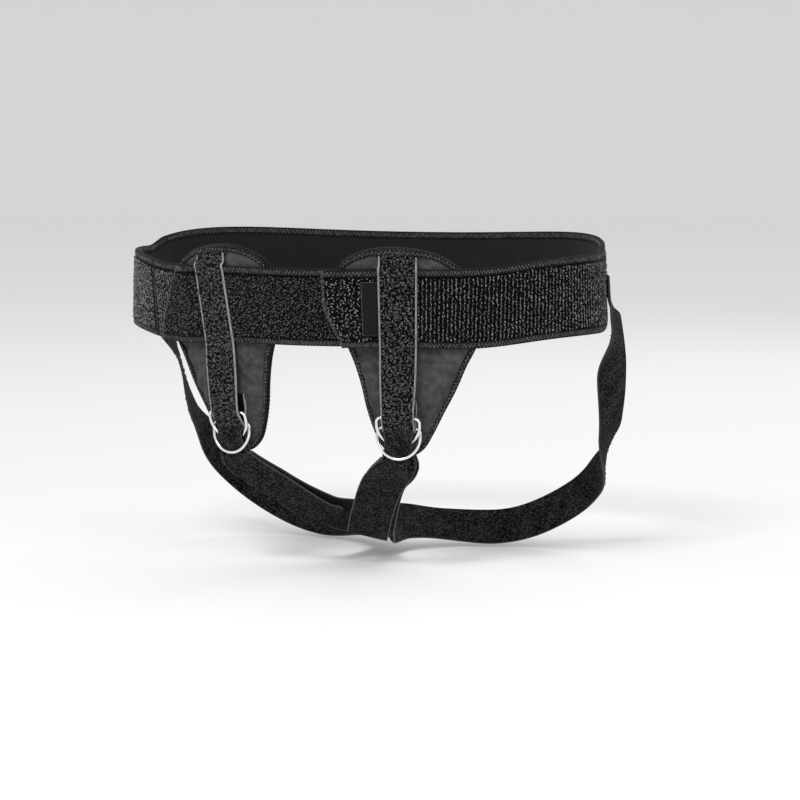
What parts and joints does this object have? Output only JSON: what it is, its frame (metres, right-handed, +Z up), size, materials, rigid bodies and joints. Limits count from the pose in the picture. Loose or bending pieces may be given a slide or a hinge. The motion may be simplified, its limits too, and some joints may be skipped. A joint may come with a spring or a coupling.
{
  "type": "hernia belt",
  "caption": "Padded groin support belt in its worn form: a waist band that laps at the front, foam pads with bound edges, and leg straps through double D-rings.",
  "frame": {"origin": "middle of the ring that the waist band makes round the hips, halfway up the band", "axes": "+X to the wearer's left, -Y to the wearer's front, +Z up"},
  "size_m": [0.3872, 0.2609, 0.2528],
  "materials": {
    "loop_pile": "matte looped pile",
    "edge_tape": "matte knitted tape",
    "pad_cloth": "matte smooth knit",
    "strap_pile": "matte looped pile",
    "leg_webbing": "matte brushed loop",
    "ring_wire": "bright plated",
    "label_cloth": "satin woven"
  },
  "bodies": {
    "root": {"front_band": "loop_pile", "front_band_top_tape": "edge_tape", "front_band_bottom_tape": "edge_tape", "back_band": "loop_pile", "back_band_top_tape": "edge_tape", "back_band_bottom_tape": "edge_tape", "pad_left": "pad_cloth", "pad_binding_left": "edge_tape", "pad_right": "pad_cloth", "pad_binding_right": "edge_tape", "upright_strap_left": "strap_pile", "upright_strap_right": "strap_pile", "inner_ring_left": "ring_wire", "inner_ring_right": "ring_wire", "outer_ring_left": "ring_wire", "outer_ring_right": "ring_wire", "leg_strap_left": "leg_webbing", "leg_strap_right": "leg_webbing", "side_label": "label_cloth"}
  },
  "joints": []
}
